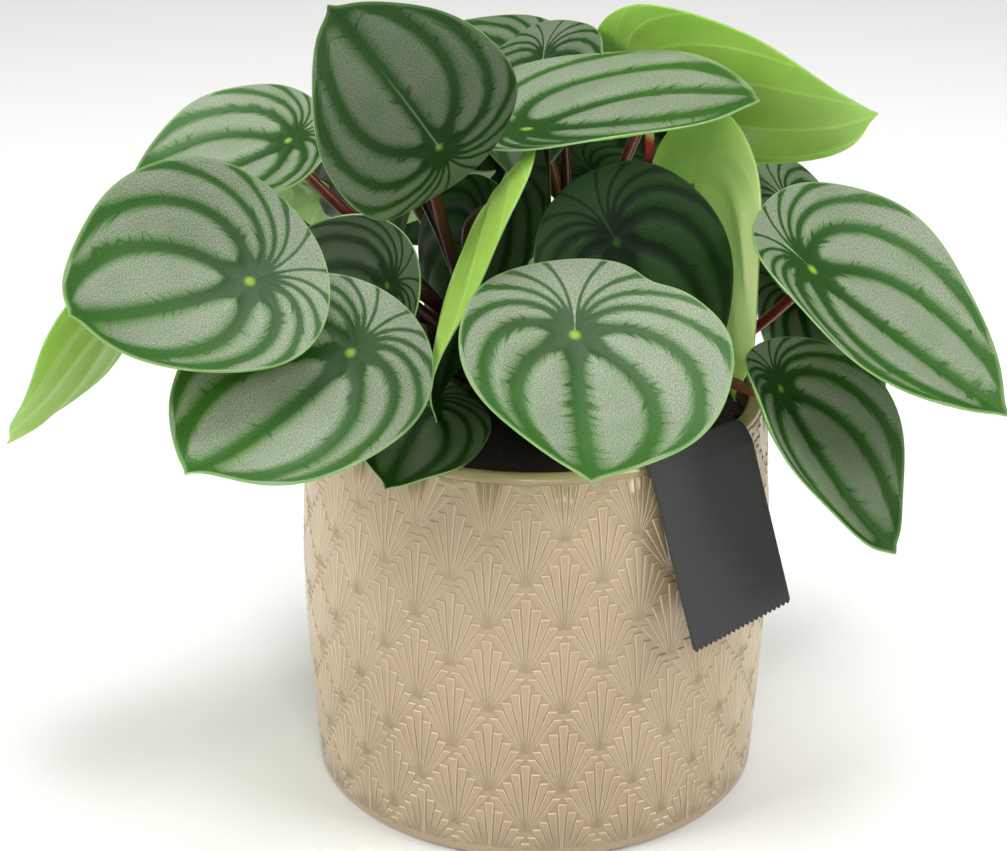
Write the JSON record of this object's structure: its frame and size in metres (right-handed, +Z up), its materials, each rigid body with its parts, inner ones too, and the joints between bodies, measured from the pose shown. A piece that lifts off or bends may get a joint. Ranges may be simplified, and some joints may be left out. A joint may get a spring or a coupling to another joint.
{
  "type": "potted peperomia",
  "caption": "Bushy house plant with round, pointed, striped leaves on red stalks, growing in a soil-filled round ceramic cover pot with a blank card label on its rim.",
  "frame": {"origin": "centre of the pot's underside, on the surface it stands on", "axes": "+Z up along the pot's axis; the pictured front faces -Y"},
  "size_m": [0.2844, 0.2493, 0.2505],
  "materials": {
    "pot_glaze": "glossy beige ceramic glaze over a low relief",
    "potting_soil": "dark crumbly potting soil",
    "label_card": "blank charcoal linen-textured card",
    "stalk_red": "smooth dark red stalks, greener at the blades",
    "leaf_green": "fleshy silver-green leaf with dark green bands along its veins"
  },
  "bodies": {
    "root": {"pot": "pot_glaze", "soil": "potting_soil", "label": "label_card", "crown_with_stalks": "stalk_red", "blade_front": "leaf_green", "blade_front_left": "leaf_green", "blade_left": "leaf_green", "blade_left_upper": "leaf_green", "blade_top_left": "leaf_green", "blade_left_low": "leaf_green", "blade_left_inner": "leaf_green", "blade_top": "leaf_green", "blade_right_upper": "leaf_green", "blade_back_top": "leaf_green", "blade_crown_top": "leaf_green", "blade_right_inner": "leaf_green", "blade_middle": "leaf_green", "blade_cupped": "leaf_green", "blade_shaded_left": "leaf_green", "blade_rim_left": "leaf_green", "blade_right": "leaf_green", "blade_right_low": "leaf_green", "blade_right_back": "leaf_green", "blade_right_back_low": "leaf_green", "blade_shaded_upper_left": "leaf_green", "blade_shaded_middle": "leaf_green", "blade_shaded_right": "leaf_green", "blade_left_back": "leaf_green", "blade_back_left": "leaf_green", "blade_back_right": "leaf_green", "blade_skirt_1": "leaf_green", "blade_skirt_2": "leaf_green", "blade_skirt_3": "leaf_green"}
  },
  "joints": []
}
